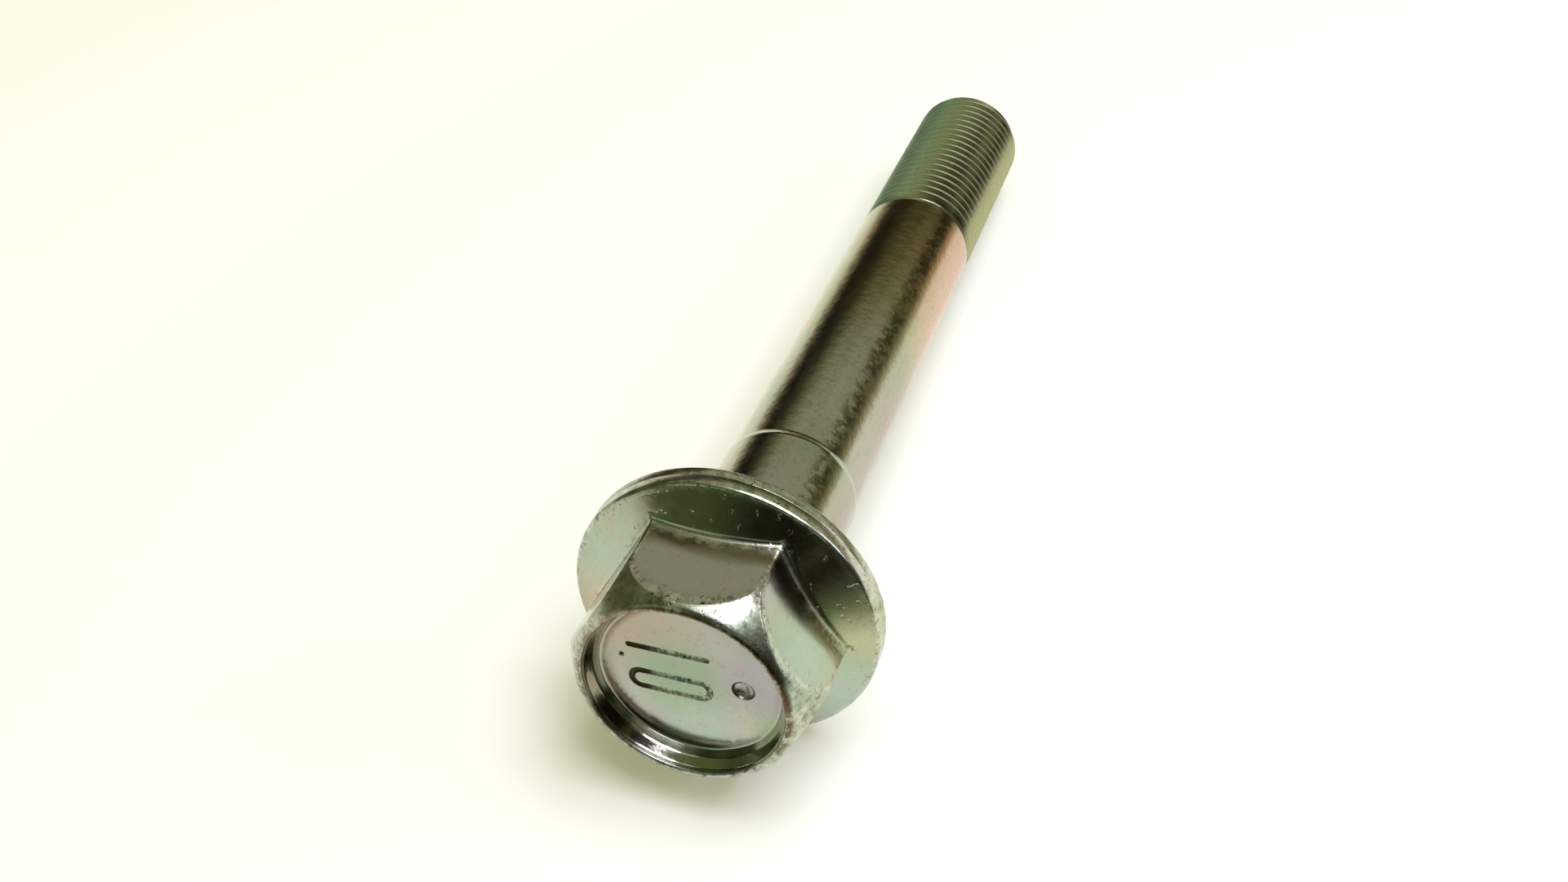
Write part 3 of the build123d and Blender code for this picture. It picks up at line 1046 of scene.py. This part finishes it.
def set_world(stage):
    """Even white surroundings: full white as a background, softer as light."""
    world = bpy.data.worlds.new("white_surroundings")
    shader = Shader(world)
    direct = seen_directly(shader)
    light = shader.node("ShaderNodeBackground", {}, {
        "Color": shader.mix(direct, stage.shade, (1.0, 1.0, 1.0)),
        "Strength": stage.sky_strength + (1 - stage.sky_strength) * direct,
    })
    shader.node("ShaderNodeOutputWorld", {}, {"Surface": light})
    bpy.context.scene.world = world


def set_out(mesh, material, only_reflected=True):
    """Puts a mesh on the stage, as a rule hidden from everything but glossy rays."""
    mesh.materials.append(material)
    thing = bpy.data.objects.new(mesh.name, mesh)
    if only_reflected:
        thing.visible_camera = False
        thing.visible_diffuse = False
        thing.visible_shadow = False
        thing.visible_transmission = False
    bpy.context.scene.collection.objects.link(thing)
    thing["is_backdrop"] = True


def flat_mesh(name, corners):
    """A mesh of one face."""
    mesh = bpy.data.meshes.new(name)
    mesh.from_pydata(corners, [], [tuple(range(len(corners)))])
    return mesh


def rectangle(first, second):
    """The corners of a level rectangle between two opposite ones."""
    return ((first[0], first[1]), (second[0], first[1]), (second[0], second[1]), (first[0], second[1]))


def add_surroundings(stage):
    """The table, level with the underside of the bolt, and what only reflections show round it."""
    table = CAD_BOX[0][2]
    corners = [(*corner, table) for corner in rectangle((-TABLE_REACH,) * 2, (TABLE_REACH,) * 2)]
    set_out(flat_mesh("table_top", corners), table_top(stage), only_reflected=False)

    room = bpy.data.meshes.new("reflected_room")
    dome = bmesh.new()
    bmesh.ops.create_uvsphere(dome, u_segments=48, v_segments=24, radius=ROOM_RADIUS)
    dome.to_mesh(room)
    dome.free()
    set_out(room, reflected_room(stage))

    corners = [(*corner, table + CARD_GAP) for corner in rectangle(*NEAR_EDGE_CORNERS)]
    set_out(flat_mesh("near_edge", corners), near_edge(stage))

    camera = bpy.context.scene.camera.matrix_basis
    corners = [camera @ Vector((*corner, LENS_GAP)) for corner in rectangle(*CAMERA_BODY_CORNERS)]
    set_out(flat_mesh("camera_body", corners),
            Shader(bpy.data.materials.new("camera_body")).glow(stage.dark))


def add_lamp(name, towards, distance, size, power, tint):
    """A soft rectangular lamp that faces the bolt."""
    light = bpy.data.lights.new(name, "AREA")
    light.color = tint
    light.shape = "RECTANGLE"
    light.size, light.size_y = size
    light.energy = power
    lamp = bpy.data.objects.new(name, light)
    towards = Vector(towards).normalized()
    lamp.location = towards * distance
    lamp.rotation_euler = towards.to_track_quat("Z", "Y").to_euler()
    bpy.context.scene.collection.objects.link(lamp)


def add_camera(stage):
    """The camera, looking down along the bolt from the head's side."""
    optics = bpy.data.cameras.new("camera")
    optics.lens = stage.lens
    optics.sensor_width = 36.0
    optics.clip_start = 0.005
    camera = bpy.data.objects.new("camera", optics)
    camera.location = bolt_placement().translation + Vector(stage.camera_offset)
    camera.rotation_euler = (math.pi / 2 - stage.view_drop, 0.0, stage.view_azimuth - math.pi / 2)
    bpy.context.scene.collection.objects.link(camera)
    bpy.context.scene.camera = camera


# -------------------- operators

class BOLT_OT_build_bolt(Operator):
    """Build the plated bolt and let it stand for the plain solid"""
    bl_idname = "bolt.build_bolt"
    bl_label = "Build Bolt"

    def execute(self, context):
        scene = context.scene
        skin = Skin()
        add_bolt(skin, scene.bolt_head_sizes, scene.bolt_shank_sizes)
        plate = ZincPlate(scene.bolt_zinc_finish, scene.bolt_head_sizes, scene.bolt_shank_sizes)
        bolt = skin.finished(BOLT, bolt_placement(), plate.material())
        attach(bolt, "root")
        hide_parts("flange_bolt")
        return {"FINISHED"}


class BOLT_OT_build_stage(Operator):
    """Set out the table, the surroundings, the lamps and the camera"""
    bl_idname = "bolt.build_stage"
    bl_label = "Build Stage"

    def execute(self, context):
        stage = context.scene.bolt_stage
        add_camera(stage)
        add_surroundings(stage)
        add_lamp("overhead_lamp", towards=(-0.09, -0.28, 0.95), distance=0.75, size=(0.50, 0.50),
                 power=stage.key_power, tint=stage.daylight)
        add_lamp("window", towards=(0.16, -0.80, 0.50), distance=0.80, size=(0.34, 0.24),
                 power=stage.window_power, tint=stage.daylight)
        set_world(stage)
        context.scene.view_settings.view_transform = "Standard"
        return {"FINISHED"}


class BOLT_PT_sidebar(Panel):
    """Sizes, finish and stage of the bolt"""
    bl_idname = "BOLT_PT_sidebar"
    bl_label = "Control Arm Bolt"
    bl_space_type = "VIEW_3D"
    bl_region_type = "UI"
    bl_category = "Bolt"

    def draw(self, context):
        for group, _ in SETTINGS:
            box = self.layout.box()
            settings = getattr(context.scene, group)
            for name in settings.bl_rna.properties.keys():
                if name not in ("rna_type", "name"):
                    box.prop(settings, name)
        for operator in OPERATORS:
            self.layout.operator(operator.bl_idname)


SETTINGS = (
    ("bolt_shank_sizes", BoltShankSizes),
    ("bolt_head_sizes", BoltHeadSizes),
    ("bolt_zinc_finish", ZincFinish),
    ("bolt_stage", StageSettings),
)
OPERATORS = (BOLT_OT_build_bolt, BOLT_OT_build_stage)


def register():
    for name, group in SETTINGS:
        bpy.utils.register_class(group)
        setattr(bpy.types.Scene, name, PointerProperty(type=group))
    for operator in OPERATORS:
        bpy.utils.register_class(operator)
    bpy.utils.register_class(BOLT_PT_sidebar)


def unregister():
    bpy.utils.unregister_class(BOLT_PT_sidebar)
    for operator in reversed(OPERATORS):
        bpy.utils.unregister_class(operator)
    for name, group in reversed(SETTINGS):
        delattr(bpy.types.Scene, name)
        bpy.utils.unregister_class(group)


def write_sizes():
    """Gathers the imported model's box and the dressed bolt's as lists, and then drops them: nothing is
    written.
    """
    boxes = {"cad_box": CAD_BOX, "visual_box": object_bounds()}
    {name: [list(corner) for corner in box] for name, box in boxes.items()}


def main():
    register()
    bpy.ops.bolt.build_bolt()
    bpy.ops.bolt.build_stage()
    write_sizes()


if __name__ == "__main__":
    main()
